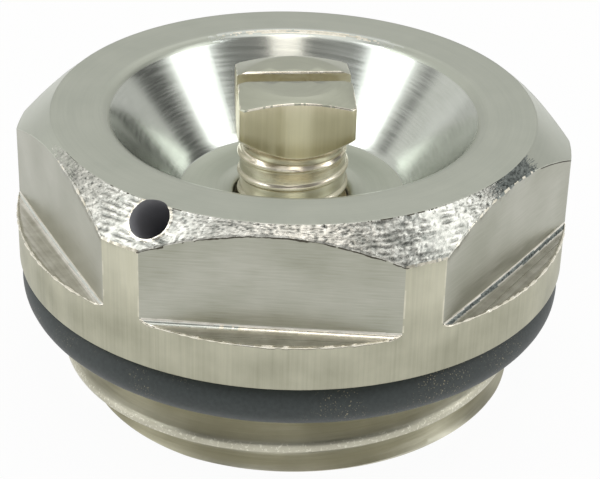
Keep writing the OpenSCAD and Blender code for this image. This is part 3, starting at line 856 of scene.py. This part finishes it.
        # the drill left a raised rim round the vent, near-white as a painted highlight
        fromMouth = np.column_stack((radius * np.cos(fine), radius * np.sin(fine), height)) - mouth
        fromAxis = np.linalg.norm(fromMouth - np.outer(fromMouth @ drill, drill), axis=1)
        rim = (fromAxis < valve["vent"]["rim"]) * 1.0
        shell.ring(fine, radius, height, np.where((rim > 0) | (np.roll(rim, -1) > 0), "burrAndHighlightNickel", finish),
                   torn=np.where(rim > 0, 0.3, rough * (1 - 0.38 * towardCorner)), scored=rough * towardCorner * (1 - rim),
                   grimy=shadeBands * (1 - rim), burr=rim * 0.5)

    # flat ring, dish and floor
    dish, lip, floor = valve["dishDiameter"] / 2, valve["dishLip"], valve["floor"]
    floorRadius = valve["floorDiameter"] / 2
    shell.ring(middle, ringRadius - 0.06, top, "turnedNickel")
    for radius in (10.0, 9.4, 9.0):
        shell.ring(coarse, radius, top, "turnedNickel")
    shell.ring(middle, dish, top, "turnedNickel")
    away, rise = dish - floorRadius, top - lip - floor
    wallAngle = math.atan2(rise, away) + math.asin(lip / math.hypot(away, rise))
    for number, a in enumerate(np.linspace(0, wallAngle, 9)[1:]):
        # its far side is burnished like the dish and dented, with a painted highlight strip that the dents break
        across = np.sin(middle) + 0.02 * raggedness(middle, 1, 70 + number)
        lipHighlight = (across > 0.93) & (raggedness(middle, 2, 80 + number) > -0.9) & (number in (2, 3, 4))
        lipFinish = np.select([lipHighlight, across > 0.87], ["burrAndHighlightNickel", "burnishedNickel"], "turnedNickel")
        shell.ring(middle, dish - lip * math.sin(a), top - lip * (1 - math.cos(a)), lipFinish)
    wallTop = dish - lip * math.sin(wallAngle)
    for share in np.linspace(0.02, 0.985, 12):
        radius = wallTop + (floorRadius - wallTop) * share
        shell.ring(coarse, radius, floor + (radius - floorRadius) * math.tan(wallAngle), "burnishedNickel")
    shell.ring(coarse, floorRadius, floor + 0.02, "burnishedNickel")
    for radius in (floorRadius - 0.06, 4.2, 3.4, valve["mouthDiameter"] / 2):
        shell.ring(coarse, radius, floor, "turnedNickel")

    # tapped hole, chamber, seat, inlet and end face
    hole, chamber, inlet = valve["holeDiameter"] / 2, valve["chamberDiameter"] / 2, valve["inletDiameter"] / 2
    shell.ring(coarse, hole, floor - (valve["mouthDiameter"] / 2 - hole), "turnedNickel")
    shell.ring(coarse, hole, floor - 1.5, "threadNickel")
    for radius, height in ((hole, valve["holeEnd"]), (chamber, valve["holeEnd"] - hole + chamber), (chamber, valve["seatTop"]),
                           (inlet, valve["seatFoot"]), (inlet, 0.1)):
        shell.ring(coarse, radius, height, "boreShade")
    shell.ring(coarse, inlet + 0.1, 0, "threadNickel")
    for radius in (3.5, 6.5, 8.8):
        shell.ring(coarse, radius, 0, "threadNickel")
    shell.join(shell.last, bottomRing, "threadNickel")

    mesh = runTree(workedSurface, {**valve["wear"], "Torn Finish": metals["tornNickel"]}, shell.mesh("valveShell"))
    return cutAway(mesh, ventCutter(), "valveBody")


def ventCutter():
    # The drill that makes the vent, from outside the crown into the chamber
    vent = valve["vent"]
    slope, turn = math.radians(vent["slope"]), math.radians(vent["azimuth"])
    outward = Vector((math.cos(turn) * math.cos(slope), math.sin(turn) * math.cos(slope), math.sin(slope)))
    mouth = Vector((vent["atRadius"] * math.cos(turn), vent["atRadius"] * math.sin(turn), vent["height"]))
    side = outward.cross(Vector((0, 0, 1))).normalized()
    over = side.cross(outward)
    points, count = [], 96
    for along in (2.0, -vent["length"]):
        for k in range(count):
            a = 2 * math.pi * k / count
            points.append(mouth + outward * along + (side * math.cos(a) + over * math.sin(a)) * vent["radius"])
    facets = [(k, (k + 1) % count, count + (k + 1) % count, count + k) for k in range(count)]
    facets += [tuple(range(count - 1, -1, -1)), tuple(range(count, 2 * count))]
    mesh = bpy.data.meshes.new("ventDrill")
    mesh.from_pydata(points, [], facets)
    mesh.materials.append(metals["ventShade"])
    return mesh


finishPiece(makeValveBody(), "valveBody", "valve_body", "plug", facetted=("tornNickel", "shadedNickel"))

# ---- O-ring ----
seal = {"Ring Radius": 11.06, "Section Radius": 1.05, "Height": 4.64, "Segments": 360, "Unevenness": 0.02}
finishPiece(runTree(sealRing, dict(seal, Material=rubber)), "sealRing", "flange_seal", "plug", sharp=60)

# ---- bleed screw ----
screw = {
    "acrossFlats": 5, "barDiameter": 6.8, "top": 13.9, "foot": 11.15, "flatTopDiameter": 4.2, "crownSlope": 19,
    "underSlope": 41, "turned": 8.5, "slotWidth": 0.9, "slotDepth": 1.0, "edgeRound": 0.06,
    "neckDiameter": 4.6, "neckTop": 10.976, "neckFoot": 10.676, "shankDiameter": 3.2, "shankTop": 5.327,
    "shankEnd": 1.557, "pointDiameter": 1.2, "pointEnd": 0.557, "onFlat": 44, "onLand": 4,
    "thread": {"Columns": 144, "Rows a Turn": 18, "Turns": 7, "Bottom": 6.227, "Top": 10.676, "Start": 5.029,
               "Pitch": 0.92, "Crest Radius": 2.5, "Depth": 0.11, "Crest Land": 0.20, "Crest Round": 0.14,
               "Flank Slope": math.tan(math.radians(30)), "Lower Chamfer": 0.3, "Upper Chamfer": 0.2,
               "Run Out From": 99.0, "Run Out To": 100.0},
}


def makeScrew():
    apothem, bar, top, edge = screw["acrossFlats"] / 2, screw["barDiameter"] / 2, screw["top"], screw["edgeRound"]
    crease = math.degrees(math.acos(apothem / bar))
    around = sideTurns(4, crease, screw["onFlat"], screw["onLand"], -90)
    within = besideFlat(around, 4)
    shell = TurnedShell(4)
    sleeve = runTree(threadedSleeve, dict(screw["thread"], Material=metals["screwStemNickel"]))
    bottomRing, topRing = shell.adopt(sleeve, "screwStemNickel")
    shank = screw["shankDiameter"] / 2
    shell.ring(around, screw["pointDiameter"] / 2, screw["pointEnd"])
    shell.pole(screw["pointEnd"], "screwStemNickel", atStart=True)
    shell.ring(around, shank, screw["shankEnd"], "screwStemNickel")
    shell.ring(around, shank, screw["shankTop"], "screwStemNickel")
    shell.join(shell.last, bottomRing, "screwStemNickel")

    shell.last = topRing
    neck = screw["neckDiameter"] / 2
    shell.ring(around, neck, screw["neckFoot"], "screwStemNickel")
    shell.ring(around, neck, screw["neckTop"], "screwStemNickel")
    wall = softLess(bar, apothem / np.cos(within))
    under, fall = (math.tan(math.radians(screw[k])) for k in ("underSlope", "crownSlope"))
    foot = screw["foot"] + (wall - apothem) * under
    for share in (0.3, 0.6, 0.9):
        radius = neck + (wall - neck) * share
        shell.ring(around, radius, screw["neckTop"] + (foot - screw["neckTop"]) * share, "screwStemNickel")
    shell.ring(around, wall - 0.01, foot + 0.01, "screwStemNickel")
    brim = top - (wall - screw["flatTopDiameter"] / 2) * fall
    for share in (0.02, 0.35, 0.7, 1.0):
        shell.ring(around, wall, foot + (brim - edge - foot) * share, "screwFaceNickel")
    # the head's broken top edge near-white, a painted highlight
    broken = np.where(raggedness(around, 2, 51) > -0.5, "burrAndHighlightNickel", "screwTopNickel")
    shell.ring(around, wall - 0.35 * edge, brim - 0.1 * edge, broken)
    shell.ring(around, wall - edge, brim + edge * fall, broken)
    flatTop = screw["flatTopDiameter"] / 2
    for share in (0.5, 0.96):
        radius = wall - edge + (flatTop - wall + edge) * share
        shell.ring(around, radius, top - (radius - flatTop) * fall, "screwTopNickel")
    for radius in (flatTop - 0.05, 1.6, 0.8):
        shell.ring(around, radius, top, "screwTopNickel")
    shell.pole(top, "screwTopNickel")
    mesh = cutAway(shell.mesh("screwShell"), slotCutter(), "bleedScrew")
    mesh.transform(Matrix.Rotation(math.radians(screw["turned"]), 4, "Z"))
    return mesh


def slotCutter():
    # The slitting saw's cut, a little wider at its top where the edges are broken
    half, top, edge = screw["slotWidth"] / 2, screw["top"], 0.05
    outline = [(-half, top - screw["slotDepth"]), (half, top - screw["slotDepth"]), (half, top - 0.08),
               (half + 0.08, top), (half + 0.08, top + 1), (-half - edge, top + 1), (-half - edge, top), (-half, top - edge)]
    count = len(outline)
    points = [(x, y, z) for x in (-4.5, 4.5) for y, z in outline]
    facets = [(k, (k + 1) % count, count + (k + 1) % count, count + k) for k in range(count)]
    facets += [tuple(range(count - 1, -1, -1)), tuple(range(count, 2 * count))]
    mesh = bpy.data.meshes.new("slotSaw")
    mesh.from_pydata(points, [], facets)
    mesh.materials.append(metals["slotNickel"])
    mesh.materials.append(metals["burrAndHighlightNickel"])
    # painted highlight: the slot's broken top edges near-white
    for facet in (2, 6):
        mesh.polygons[facet].material_index = 1
    return mesh


finishPiece(makeScrew(), "bleedScrew", "bleed_screw", "screw")
